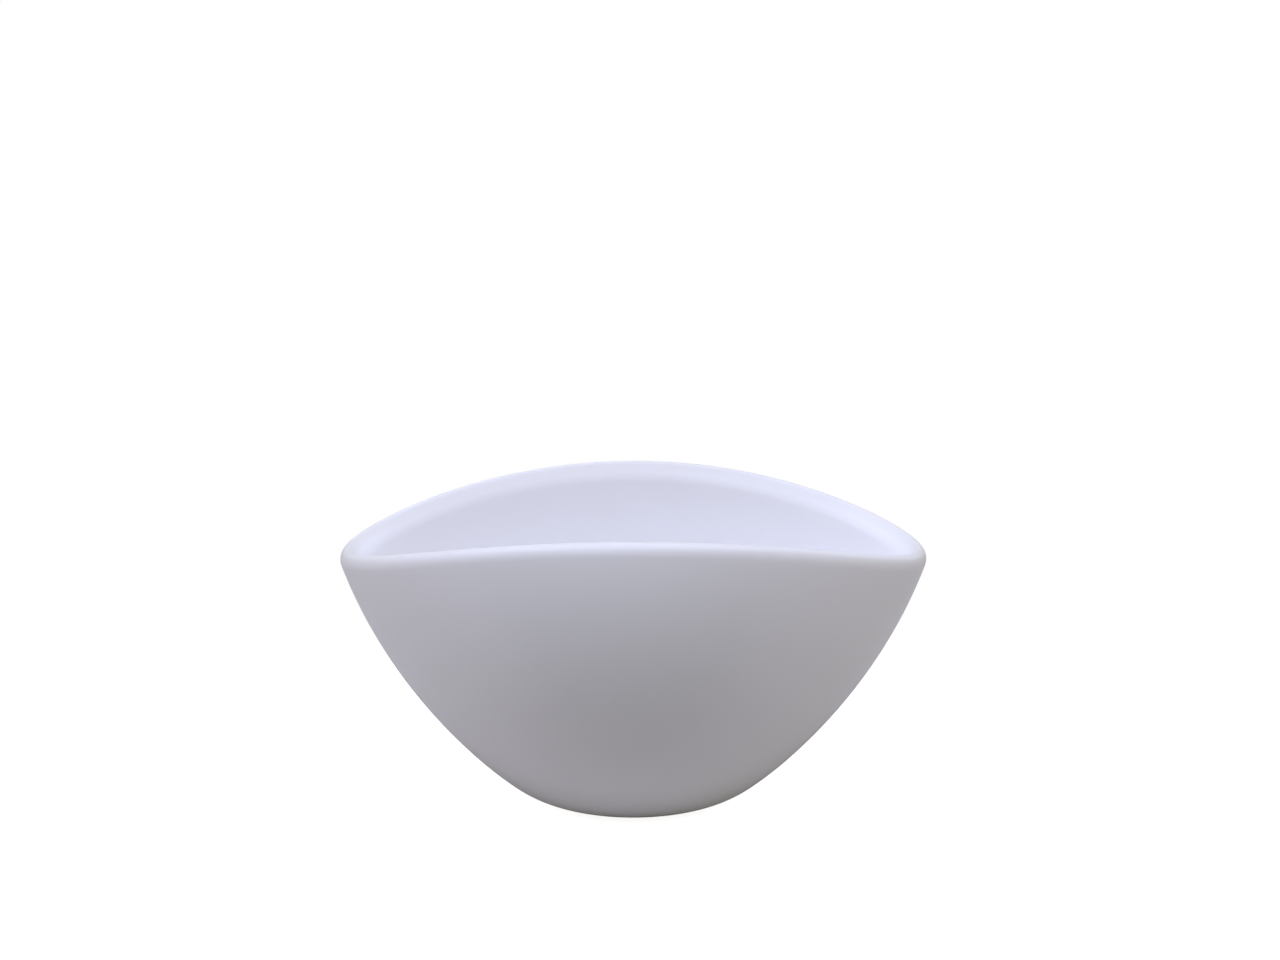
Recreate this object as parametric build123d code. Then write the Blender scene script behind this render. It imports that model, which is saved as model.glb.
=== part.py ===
"""Boat-shaped glazed ceramic bowl on a low round foot ring.

Frame: +X along the long way of the bowl, +Z up, Y across it.  The origin is the middle of the
foot, on the plane that the bowl stands on.  Millimetres.

The bowl starts from a round base and opens into a long, lens-shaped mouth.  Its two long sides
bulge and lean back in a little at the rim; its two ends run out flat and finish lower, so the
rim is a saddle.  Every horizontal section follows one formula (see `outline`).
"""
import os
from math import cos, pi, radians, sin, sqrt

from build123d import *

# ---- driving dimensions -------------------------------------------------------------------
# base of the body: a flat disc, then a rounded edge that both profiles share
BASE_FLAT_R = 22.0        # radius of the flat under the body
BASE_CURVE_R = 36.0       # radius of the curve from the flat into the walls

# end profile (in the XZ plane), outside face
END_SLOPE = 36.9          # slope where the base curve ends, degrees above level
END_R = 162.5             # radius of the long curve up to the tip

# side profile (in the YZ plane), outside face
SIDE_SLOPE = 62.0         # slope where the base curve ends, degrees above level
SIDE_R = 118.8            # radius of the bulging side

# rim
RIM_MID_H = 103.2         # height of the rim in the middle of each long side
RIM_TIP_H = 85.7          # height of the rim at the two tips
RIM_HALF_L = 99.5         # from the middle of the bowl to each tip
PINCH = 0.168             # how much the mouth is narrower than an ellipse towards its tips
WALL = 7.6                # wall thickness
LIP_OUT_R = 2.9           # rounding of the rim on the outside
LIP_IN_R = 3.7            # rounding of the rim on the inside

# foot ring, luted into a shallow seat under the body
FOOT_H = 1.2              # how far the body is held off the table
FOOT_OUT_R = 24.0
FOOT_IN_R = 20.0
FOOT_SEAT = 1.3           # depth of the seat in the underside of the body
FOOT_EDGE_R = 0.5         # worn edges that touch the table
DISH_DEPTH = 1.4          # hollow of the underside inside the foot ring
DISH_R = 18.6             # its radius
UNDER_EDGE_R = 8.0        # rounding between the flat underside and the base curve

# inside of the floor
FLOOR_H = 7.9             # height of the flat floor above the table
FLOOR_EDGE_R = 12.0       # rounding between the floor and the walls

# sections
OUTLINE_POINTS = 24       # points on one closed section
SEAM_TURN = 0.125         # the sections start an eighth of a turn round, clear of tips and crests
SECTIONS = 14             # spaces between the sections, closer together lower down
ABOVE_RIM = 3.0           # the walls are made this much too tall and then trimmed


def reach(height, slope, wall_r, inset=0.0):
    """Distance from the middle to a wall at one height.

    The wall is a flat, the base curve up to `slope`, and an arc of `wall_r` that carries on
    from it.  `inset` gives the parallel profile that far inside the first.
    """
    slope = radians(slope)
    knee = BASE_CURVE_R * (1 - cos(slope))
    base_r = BASE_CURVE_R - inset
    if height <= BASE_CURVE_R - base_r * cos(slope):
        return BASE_FLAT_R + sqrt(max(0.0, base_r**2 - (BASE_CURVE_R - height)**2))
    centre_x = BASE_FLAT_R + (BASE_CURVE_R - wall_r) * sin(slope)
    centre_z = knee + wall_r * cos(slope)
    return centre_x + sqrt((wall_r - inset)**2 - (centre_z - height)**2)


def outline(height, inset=0.0):
    """Closed horizontal section: an ellipse, pinched towards its tips more and more higher up."""
    half_l = reach(height, END_SLOPE, END_R, inset)
    half_w = reach(height, SIDE_SLOPE, SIDE_R, inset)
    pinch = PINCH * height / RIM_MID_H
    points = []
    for i in range(OUTLINE_POINTS):
        turn = 2 * pi * (i / OUTLINE_POINTS + SEAM_TURN)
        points.append((half_l * cos(turn), half_w * sin(turn) * (1 - pinch * cos(turn)**2)))
    return Plane.XY.offset(height) * make_face(Spline(*points, periodic=True))


def bowl_form(inset, floor_z, floor_edge_r):
    """Solid between `floor_z` and above the rim, bounded by the wall profile at `inset`."""
    rise = RIM_MID_H + ABOVE_RIM - floor_z
    heights = [floor_z + rise * (i / SECTIONS)**2 for i in range(SECTIONS + 1)]
    form = loft([outline(height, inset) for height in heights])
    return fillet(form.edges().group_by(Axis.Z)[0], floor_edge_r)


def above_rim():
    """Everything above the saddle of the rim: one arc, high in the middle, run across in Y."""
    reach_x = RIM_HALF_L * 1.1
    drop = (RIM_MID_H - RIM_TIP_H) * (reach_x / RIM_HALF_L)**2
    ceiling = RIM_MID_H + 2 * ABOVE_RIM
    saddle = ThreePointArc(
        (-reach_x, 0, RIM_MID_H - drop), (0, 0, RIM_MID_H), (reach_x, 0, RIM_MID_H - drop))
    box = Polyline(saddle @ 1, (reach_x, 0, ceiling), (-reach_x, 0, ceiling), saddle @ 0)
    return extrude(make_face(saddle + box), amount=RIM_HALF_L, both=True)


def rim_edges(body):
    """The two long edges of the rim, outer first."""
    edges = [edge for edge in body.edges() if edge.bounding_box().max.Z > RIM_MID_H - 0.5]
    return sorted(edges, key=lambda edge: -edge.bounding_box().size.X)


def bowl_body():
    """Hull of the bowl, with its lip rounded over and its underside cut for the foot ring."""
    body = bowl_form(0.0, FOOT_H, UNDER_EDGE_R) - bowl_form(WALL, FLOOR_H, FLOOR_EDGE_R)
    body -= above_rim()
    inner_edge = rim_edges(body)[-1]
    body = fillet(inner_edge, LIP_IN_R)
    outer_edge = rim_edges(body)[0]
    body = fillet(outer_edge, LIP_OUT_R)
    seat = Cylinder(FOOT_OUT_R, FOOT_SEAT) - Cylinder(FOOT_IN_R, FOOT_SEAT)
    body -= Pos(0, 0, FOOT_H + FOOT_SEAT / 2) * seat
    dish_ball_r = (DISH_R**2 + DISH_DEPTH**2) / (2 * DISH_DEPTH)
    return body - Pos(0, 0, FOOT_H + DISH_DEPTH - dish_ball_r) * Sphere(dish_ball_r)


def foot_ring():
    """Low ring of bare clay that fills the seat and lifts the glazed body off the table."""
    height = FOOT_H + FOOT_SEAT
    ring = Pos(0, 0, height / 2) * (Cylinder(FOOT_OUT_R, height) - Cylinder(FOOT_IN_R, height))
    table_edges = ring.edges().group_by(Axis.Z)[0]
    return fillet(table_edges, FOOT_EDGE_R)


os.makedirs("parts", exist_ok=True)
for name, make in (("bowl_body", bowl_body), ("foot_ring", foot_ring)):
    part = make()
    part.label = name
    export_step(part, f"parts/{name}.step")
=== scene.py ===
"""Looks for the boat-shaped glazed bowl: its glazed skin, its bare-clay foot ring, and the studio.

Metres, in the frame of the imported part: +X along the bowl, +Y across it, +Z up, origin under the
middle of the foot.
"""

from math import cos, pi, radians, sin, sqrt

import bpy
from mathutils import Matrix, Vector

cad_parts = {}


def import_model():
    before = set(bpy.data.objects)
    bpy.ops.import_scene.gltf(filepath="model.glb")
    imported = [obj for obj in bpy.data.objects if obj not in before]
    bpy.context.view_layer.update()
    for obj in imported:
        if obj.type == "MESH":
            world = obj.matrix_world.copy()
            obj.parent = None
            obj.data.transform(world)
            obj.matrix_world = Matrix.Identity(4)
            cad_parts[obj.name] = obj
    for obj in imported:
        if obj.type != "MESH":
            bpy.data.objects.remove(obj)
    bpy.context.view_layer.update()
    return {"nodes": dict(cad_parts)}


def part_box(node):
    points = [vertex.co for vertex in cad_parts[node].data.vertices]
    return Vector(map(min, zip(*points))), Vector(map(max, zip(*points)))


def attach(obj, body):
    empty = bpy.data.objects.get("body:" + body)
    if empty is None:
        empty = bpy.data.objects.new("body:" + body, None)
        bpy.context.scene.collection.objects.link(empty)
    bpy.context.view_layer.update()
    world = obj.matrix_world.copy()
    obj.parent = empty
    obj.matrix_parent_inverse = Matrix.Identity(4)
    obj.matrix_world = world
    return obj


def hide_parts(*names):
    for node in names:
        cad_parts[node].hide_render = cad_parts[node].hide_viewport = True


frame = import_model()
MM = 0.001

# ---- the form of the bowl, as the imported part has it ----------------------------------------
body_low, body_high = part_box("bowl_body")
ring_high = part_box("foot_ring")[1]

RIM_MID_H = body_high.z            # height of the rim in the middle of each long side
RIM_TIP_H = RIM_MID_H - 17.5 * MM  # and at the two tips
RIM_HALF_L = 99.5 * MM
RIM_OVERRUN = 1.1                  # the rim's arc is drawn this much past the tips
UNDER_Z = body_low.z               # flat underside of the body
BASE_FLAT_R = 22.0 * MM
BASE_CURVE_R = 36.0 * MM
END_SLOPE = radians(36.9)
END_R = 162.5 * MM
SIDE_SLOPE = radians(62.0)
SIDE_R = 118.8 * MM
PINCH = 0.168
WALL = 7.6 * MM
FLOOR_Z = 7.9 * MM
RING_OUT_R = ring_high.x
RING_IN_R = RING_OUT_R - 4.0 * MM
SEAT_Z = ring_high.z
DISH_R = 18.6 * MM
DISH_DEPTH = 1.4 * MM
UNDER_FLAT_R = RING_OUT_R + 3.0 * MM  # the flat underside outside the foot ring

# ---- the finish of the lip, which is softer than a plain fillet ------------------------------
SKIN = 0.03 * MM                   # how far the outside lies within the CAD's outer face
LIP_OUT_FALL = 4.2 * MM            # how far down the outside the rounding starts
LIP_IN_FALL = 6.8 * MM             # and down the inside
LIP_PEAK = 0.46                    # where the crest lies, from the outside (0) to the inside (1)
ROUND = 0.5523                     # fullness of the outside, a true quarter-round
BEVEL = 0.30                       # fullness of the inside, a bevel with soft ends
DIRECTION_STEP = 0.2 * MM          # over which the wall's direction at the lip is taken
CREST_GREY_FROM = 3.6 * MM               # below the crest, where the colour starts to turn greyer towards it
CREST_GREY_FULL = 0.8 * MM               # and where it is greyest
CREST_GREY_TINT = (0.81, 0.812, 0.80)

# ---- the studio -----------------------------------------------------------------------------
FLOOR_SIDES = (0.54, 0.52, 0.50)   # what the bowl sees of it beside and behind
FLOOR_PAINTED_SHADE = (0.02, 0.02, 0.02)   # painted shade: near-black towards the dark camera side, in place of the floor in shade there
FLOOR_GLOW = 0.90                  # added for the camera near the bowl; further out it is white
FLOOR_HALF = 6.0
ROOM_COLOUR = (1.0, 0.895, 0.59)   # warm light from all round
ROOM_STRENGTH = 0.40
COOL = (0.60, 0.665, 1.0)          # colour of the softboxes
SOFTBOX_AIM = Vector((0, 0, 0.05))

# ---- mesh density ---------------------------------------------------------------------------
TURNS = 288                        # columns round the bowl
WALL_ROWS = 64
WALL_GRADING = 1.7                 # how much closer together the rows are lower down
LIP_ROWS = 14                      # on each side of the crest
FLAT_ROWS = 8
CREST_STEPS = 8                    # for the height of the crest over a leaning wall
SHARP_ANGLE = radians(50)          # edges sharper than this aren't smoothed


def reach(height, slope, wall_r, inset):
    """Distance from the middle to a wall at one height, `inset` inside the outer profile."""
    knee = BASE_CURVE_R * (1 - cos(slope))
    base_r = BASE_CURVE_R - inset
    if height <= BASE_CURVE_R - base_r * cos(slope):
        return BASE_FLAT_R + sqrt(max(0.0, base_r**2 - (BASE_CURVE_R - height)**2))
    centre_x = BASE_FLAT_R + (BASE_CURVE_R - wall_r) * sin(slope)
    centre_z = knee + wall_r * cos(slope)
    return centre_x + sqrt((wall_r - inset)**2 - (centre_z - height)**2)


def wall_point(turn, height, inset):
    """Point of the wall at one turn round the bowl and one height."""
    half_l = reach(height, END_SLOPE, END_R, inset)
    half_w = reach(height, SIDE_SLOPE, SIDE_R, inset)
    pinch = PINCH * height / RIM_MID_H
    return Vector((half_l * cos(turn), half_w * sin(turn) * (1 - pinch * cos(turn)**2), height))


def rim_height(x):
    """Height of the crest of the rim: an arc along the bowl."""
    half = RIM_HALF_L * RIM_OVERRUN
    drop = (RIM_MID_H - RIM_TIP_H) * RIM_OVERRUN**2
    arc_r = (half**2 + drop**2) / (2 * drop)
    return RIM_MID_H - arc_r + sqrt(arc_r**2 - x**2)


def crest_height(turn, inset):
    """Height of the rim over the wall at one turn; the wall leans, so it is found in a few steps."""
    height = RIM_MID_H
    for _ in range(CREST_STEPS):
        height = rim_height(wall_point(turn, height, inset).x)
    return height


def quarter(start, start_dir, end, end_dir, bulge, rows):
    """Points of a quarter-round from start to end, along the given directions at its two ends."""
    span_a = abs((end - start).dot(start_dir)) * bulge
    span_b = abs((end - start).dot(end_dir)) * bulge
    a, b = start + start_dir * span_a, end - end_dir * span_b
    for i in range(1, rows + 1):
        t = i / rows
        u = 1 - t
        yield start * u**3 + a * (3 * u * u * t) + b * (3 * u * t * t) + end * t**3


def profile(turn):
    """One line of points over the whole skin at one turn: underside, outside, lip, inside, floor."""
    points = []
    ball_r = (DISH_R**2 + DISH_DEPTH**2) / (2 * DISH_DEPTH)
    ray = Vector((cos(turn), sin(turn), 0))

    def flat(radius, height):
        points.append(ray * radius + Vector((0, 0, height)))

    for i in range(1, FLAT_ROWS + 1):
        radius = DISH_R * i / FLAT_ROWS
        flat(radius, UNDER_Z + DISH_DEPTH - ball_r + sqrt(ball_r**2 - radius**2))
    flat(RING_IN_R, UNDER_Z)
    flat(RING_IN_R, SEAT_Z)
    flat(RING_OUT_R, SEAT_Z)
    flat(RING_OUT_R, UNDER_Z)
    flat(UNDER_FLAT_R, UNDER_Z)

    top_out = crest_height(turn, 0) - LIP_OUT_FALL
    top_in = crest_height(turn, WALL) - LIP_IN_FALL
    for i in range(WALL_ROWS + 1):
        height = UNDER_Z + (top_out - UNDER_Z) * (i / WALL_ROWS)**WALL_GRADING
        points.append(wall_point(turn, height, SKIN))

    out_end, in_end = points[-1], wall_point(turn, top_in, WALL)
    out_dir = (wall_point(turn, top_out + DIRECTION_STEP, SKIN) - out_end).normalized()
    in_dir = (in_end - wall_point(turn, top_in + DIRECTION_STEP, WALL)).normalized()
    crest = wall_point(turn, crest_height(turn, WALL * LIP_PEAK), WALL * LIP_PEAK)
    across = wall_point(turn, crest.z, WALL) - wall_point(turn, crest.z, 0)
    across.z = rim_height(crest.x + across.x) - rim_height(crest.x)
    across.normalize()
    points.extend(quarter(out_end, out_dir, crest, across, ROUND, LIP_ROWS))
    points.extend(quarter(crest, across, in_end, in_dir, BEVEL, LIP_ROWS))

    for i in range(1, WALL_ROWS + 1):
        height = FLOOR_Z + (top_in - FLOOR_Z) * (1 - i / WALL_ROWS)**WALL_GRADING
        points.append(wall_point(turn, height, WALL))
    edge = Vector((points[-1].x, points[-1].y, 0))
    for i in range(1, FLAT_ROWS):
        points.append(edge * (1 - i / FLAT_ROWS) + Vector((0, 0, FLOOR_Z)))
    return points


def glazed_body():
    """The whole skin of the bowl as one closed mesh of quads, with a fan at each pole."""
    lines = [profile(2 * pi * i / TURNS) for i in range(TURNS)]
    rows = len(lines[0])
    vertices = [point for line in lines for point in line]
    under_pole, floor_pole = len(vertices), len(vertices) + 1
    vertices += [Vector((0, 0, UNDER_Z + DISH_DEPTH)), Vector((0, 0, FLOOR_Z))]
    faces = []
    for i in range(TURNS):
        here, there = i * rows, (i + 1) % TURNS * rows
        faces.append((under_pole, there, here))
        faces += [(here + r, there + r, there + r + 1, here + r + 1) for r in range(rows - 1)]
        faces.append((floor_pole, here + rows - 1, there + rows - 1))
    mesh = bpy.data.meshes.new("glazed_body")
    mesh.from_pydata(vertices, [], faces)
    mesh.polygons.foreach_set("use_smooth", [True] * len(mesh.polygons))
    mesh.set_sharp_from_angle(angle=SHARP_ANGLE)
    mesh.update()
    body = bpy.data.objects.new("glazed_body", mesh)
    bpy.context.scene.collection.objects.link(body)
    return body


# ---- materials ------------------------------------------------------------------------------
class Nodes:
    """A material's node tree, with the few calls that the finishes below need."""

    def __init__(self, name):
        self.material = bpy.data.materials.new(name)
        self.material.use_nodes = True
        self.tree = self.material.node_tree
        self.shader = self.tree.nodes["Principled BSDF"]
        self.place = self.tree.nodes.new("ShaderNodeTexCoord").outputs["Object"]

    def link(self, source, target):
        self.tree.links.new(source, target)

    def node(self, kind, *sources, operation=None):
        """A node with the sources linked to its inputs in order."""
        node = self.tree.nodes.new(kind)
        if operation:
            node.operation = operation
        for source, target in zip(sources, node.inputs):
            self.link(source, target)
        return node

    def noise(self, scale, detail=3.0, roughness=0.5):
        node = self.tree.nodes.new("ShaderNodeTexNoise")
        node.inputs["Scale"].default_value = scale
        node.inputs["Detail"].default_value = detail
        node.inputs["Roughness"].default_value = roughness
        self.link(self.place, node.inputs["Vector"])
        return node.outputs["Fac"]

    def ramp(self, value, *stops):
        """Colours or levels over a value: each stop is (position, (r, g, b))."""
        node = self.tree.nodes.new("ShaderNodeValToRGB")
        elements = node.color_ramp.elements
        while len(elements) < len(stops):
            elements.new(0.5)
        for element, (position, colour) in zip(elements, stops):
            element.position = position
            element.color = (*colour, 1)
        self.link(value, node.inputs["Fac"])
        return node.outputs["Color"]

    def levels(self, value, low, high, out_low, out_high):
        node = self.tree.nodes.new("ShaderNodeMapRange")
        node.inputs["From Min"].default_value = low
        node.inputs["From Max"].default_value = high
        node.inputs["To Min"].default_value = out_low
        node.inputs["To Max"].default_value = out_high
        self.link(value, node.inputs["Value"])
        return node.outputs["Result"]

    def mix(self, factor, a, b):
        """Mixed colour; each of the three is a socket, a colour or a number."""
        node = self.tree.nodes.new("ShaderNodeMix")
        node.data_type = "RGBA"
        for name, value in (("Factor", factor), ("A", a), ("B", b)):
            socket = node.inputs[name]
            if isinstance(value, bpy.types.NodeSocket):
                self.link(value, socket)
            elif isinstance(value, tuple):
                socket.default_value = (*value, 1)
            else:
                socket.default_value = value
        return node.outputs["Result"]

    def bump(self, height, distance, strength=1.0, under=None):
        node = self.tree.nodes.new("ShaderNodeBump")
        node.inputs["Distance"].default_value = distance
        node.inputs["Strength"].default_value = strength
        self.link(height, node.inputs["Height"])
        if under is not None:
            self.link(under, node.inputs["Normal"])
        return node.outputs["Normal"]


def white_glaze():
    """Opaque cool-white glaze: faint pooling of tint, slight orange peel, a few pin-point specks.

    Near the crest of the rim it is a little greyer and less blue.
    """
    n = Nodes("white_glaze")
    pooling = n.ramp(n.noise(9, 1), (0.2, (0.890, 0.892, 0.908)), (0.8, (0.902, 0.903, 0.916)))
    fine = n.levels(n.noise(420, 4), 0.2, 0.8, 0.0, 0.02)
    tinted = n.mix(fine, pooling, (0.84, 0.84, 0.84))
    speck = n.tree.nodes.new("ShaderNodeTexVoronoi")
    speck.inputs["Scale"].default_value = 70
    n.link(n.place, speck.inputs["Vector"])
    is_speck = n.levels(speck.outputs["Distance"], 0.006, 0.016, 0.15, 0.0)
    split = n.node("ShaderNodeSeparateXYZ", n.place)
    along = split.outputs["X"]
    squared = n.node("ShaderNodeMath", along, along, operation="MULTIPLY").outputs["Value"]
    # greyer and less blue towards the crest of the rim, which sags towards the tips
    sag = n.levels(squared, 0.0, RIM_HALF_L**2, 0.0, RIM_MID_H - RIM_TIP_H)
    levelled = n.node("ShaderNodeMath", split.outputs["Z"], sag, operation="ADD").outputs["Value"]
    near_crest = n.levels(levelled, RIM_MID_H - CREST_GREY_FROM, RIM_MID_H - CREST_GREY_FULL, 0.0, 1.0)
    crest_greyed = n.mix(near_crest, tinted, CREST_GREY_TINT)
    n.link(n.mix(is_speck, crest_greyed, (0.55, 0.52, 0.48)), n.shader.inputs["Base Color"])
    n.link(n.levels(n.noise(60, 2), 0.2, 0.8, 0.32, 0.38), n.shader.inputs["Roughness"])
    swell = n.bump(n.noise(22, 0), 0.0004, 0.3)
    n.link(n.bump(n.noise(700, 1), 0.00002, 0.4, swell), n.shader.inputs["Normal"])
    n.shader.inputs["IOR"].default_value = 1.45
    n.shader.inputs["Coat Weight"].default_value = 0.06
    n.shader.inputs["Coat Roughness"].default_value = 0.16
    n.shader.inputs["Coat IOR"].default_value = 1.45
    return n.material


def bare_clay():
    """Unglazed biscuit: warm off-white, matt, finely grained, with darker grit and rubbed scuffs."""
    n = Nodes("bare_clay")
    body = n.ramp(n.noise(120, 5, 0.6), (0.3, (0.66, 0.60, 0.51)), (0.7, (0.80, 0.75, 0.67)))
    grit = n.levels(n.noise(1600, 2), 0.62, 0.72, 0.0, 0.5)
    scuff = n.levels(n.noise(40, 3), 0.55, 0.7, 0.0, 0.35)
    gritty = n.mix(grit, body, (0.42, 0.36, 0.29))
    n.link(n.mix(scuff, gritty, (0.56, 0.53, 0.49)), n.shader.inputs["Base Color"])
    n.link(n.levels(n.noise(300, 3), 0.3, 0.7, 0.72, 0.9), n.shader.inputs["Roughness"])
    n.link(n.bump(n.noise(1400, 4), 0.00012, 0.8), n.shader.inputs["Normal"])
    return n.material


# ---- studio ---------------------------------------------------------------------------------
def studio_floor():
    """Plain white floor.

    The camera sees it burnt out, but for a faint contact shadow. The bowl sees painted shade on it:
    a near-black wedge that opens towards -Y, the camera's side in the main view. It is clear when
    seen from below.
    """
    half = FLOOR_HALF
    corners = [(-half, -half, 0), (half, -half, 0), (half, half, 0), (-half, half, 0)]
    mesh = bpy.data.meshes.new("floor")
    mesh.from_pydata(corners, [], [(0, 1, 2, 3)])
    floor = bpy.data.objects.new("floor", mesh)
    bpy.context.scene.collection.objects.link(floor)
    n = Nodes("floor_white")
    away = n.node("ShaderNodeVectorMath", n.place, operation="LENGTH").outputs["Value"]
    split = n.node("ShaderNodeSeparateXYZ", n.place)
    wide = n.node("ShaderNodeMath", split.outputs["X"], operation="ABSOLUTE").outputs["Value"]
    ahead = n.node("ShaderNodeMath", split.outputs["Y"], wide, operation="ADD").outputs["Value"]
    # painted shade: past the bowl's own shadow, the floor the bowl sees is near-black in a wedge
    # towards -Y
    in_wedge = n.levels(ahead, -0.06, 0.0, 1.0, 0.0)
    past_shadow = n.levels(away, 0.07, 0.12, 0.0, 1.0)
    is_painted_shade = n.node("ShaderNodeMath", in_wedge, past_shadow, operation="MULTIPLY").outputs["Value"]
    n.link(n.mix(is_painted_shade, FLOOR_SIDES, FLOOR_PAINTED_SHADE), n.shader.inputs["Base Color"])
    n.shader.inputs["Roughness"].default_value = 0.9
    n.shader.inputs["Specular IOR Level"].default_value = 0.0

    paper = n.node("ShaderNodeBsdfDiffuse")
    paper.inputs["Color"].default_value = (0.9, 0.9, 0.9, 1)
    glow = n.node("ShaderNodeEmission")
    glow.inputs["Strength"].default_value = FLOOR_GLOW
    near = n.node("ShaderNodeAddShader", paper.outputs["BSDF"], glow.outputs["Emission"])
    burnt_out = n.node("ShaderNodeEmission")
    seen = n.node("ShaderNodeMixShader", n.levels(away, 0.06, 0.25, 0.0, 1.0),
                  near.outputs["Shader"], burnt_out.outputs["Emission"])
    by_ray = n.node("ShaderNodeMixShader", n.node("ShaderNodeLightPath").outputs["Is Camera Ray"],
                    n.shader.outputs["BSDF"], seen.outputs["Shader"])
    by_side = n.node("ShaderNodeMixShader", n.node("ShaderNodeNewGeometry").outputs["Backfacing"],
                     by_ray.outputs["Shader"], n.node("ShaderNodeBsdfTransparent").outputs["BSDF"])
    n.link(by_side.outputs["Shader"], n.tree.nodes["Material Output"].inputs["Surface"])
    mesh.materials.append(n.material)


def softbox(name, place, size, watts):
    """Square area light that faces the bowl."""
    data = bpy.data.lights.new(name, "AREA")
    data.shape = "RECTANGLE"
    data.size = data.size_y = size
    data.energy = watts
    data.color = COOL
    light = bpy.data.objects.new(name, data)
    light.location = place
    light.rotation_mode = "QUATERNION"
    light.rotation_quaternion = (SOFTBOX_AIM - Vector(place)).to_track_quat("-Z", "Y")
    bpy.context.scene.collection.objects.link(light)


def world():
    """White behind the floor for the camera; a dim warm room for everything else."""
    data = bpy.data.worlds.new("room")
    data.use_nodes = True
    tree = data.node_tree
    path = tree.nodes.new("ShaderNodeLightPath")
    seen = tree.nodes.new("ShaderNodeBackground")
    seen.inputs["Color"].default_value = (1, 1, 1, 1)
    lit = tree.nodes["Background"]
    lit.inputs["Color"].default_value = (*ROOM_COLOUR, 1)
    lit.inputs["Strength"].default_value = ROOM_STRENGTH
    choose = tree.nodes.new("ShaderNodeMixShader")
    tree.links.new(path.outputs["Is Camera Ray"], choose.inputs["Fac"])
    tree.links.new(lit.outputs["Background"], choose.inputs[1])
    tree.links.new(seen.outputs["Background"], choose.inputs[2])
    tree.links.new(choose.outputs["Shader"], tree.nodes["World Output"].inputs["Surface"])
    bpy.context.scene.world = data


def camera():
    """Long lens, 15.7 degrees above the middle of the bowl, with the bowl low in the frame."""
    middle_z = 51.8 * MM
    distance = 1.0236
    elevation = radians(15.7)
    tilt_up = radians(3.17)
    side_step = 2.3 * MM
    roll = radians(-0.07)
    data = bpy.data.cameras.new("camera")
    data.sensor_width = 36.0
    data.lens = 84.375
    eye = bpy.data.objects.new("camera", data)
    eye.location = (side_step, -distance * cos(elevation), middle_z + distance * sin(elevation))
    eye.rotation_mode = "ZXY"
    eye.rotation_euler = (pi / 2 - (elevation - tilt_up), 0, roll)
    bpy.context.scene.collection.objects.link(eye)
    bpy.context.scene.camera = eye


skin = glazed_body()
skin.data.materials.append(white_glaze())
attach(skin, "root")
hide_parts("bowl_body")

ring = frame["nodes"]["foot_ring"]
ring.data.materials.clear()
ring.data.materials.append(bare_clay())

studio_floor()
world()
softbox("overhead", (0, 0, 1.55), 1.5, 15.3)
softbox("front", (0, -0.96, 1.2), 1.3, 8.4)
softbox("left", (-0.96, 0, 1.2), 1.3, 6.9)
softbox("back_right", (0.98, 0.98, 0.61), 1.0, 3.0)
camera()
bpy.context.scene.view_settings.view_transform = "Standard"
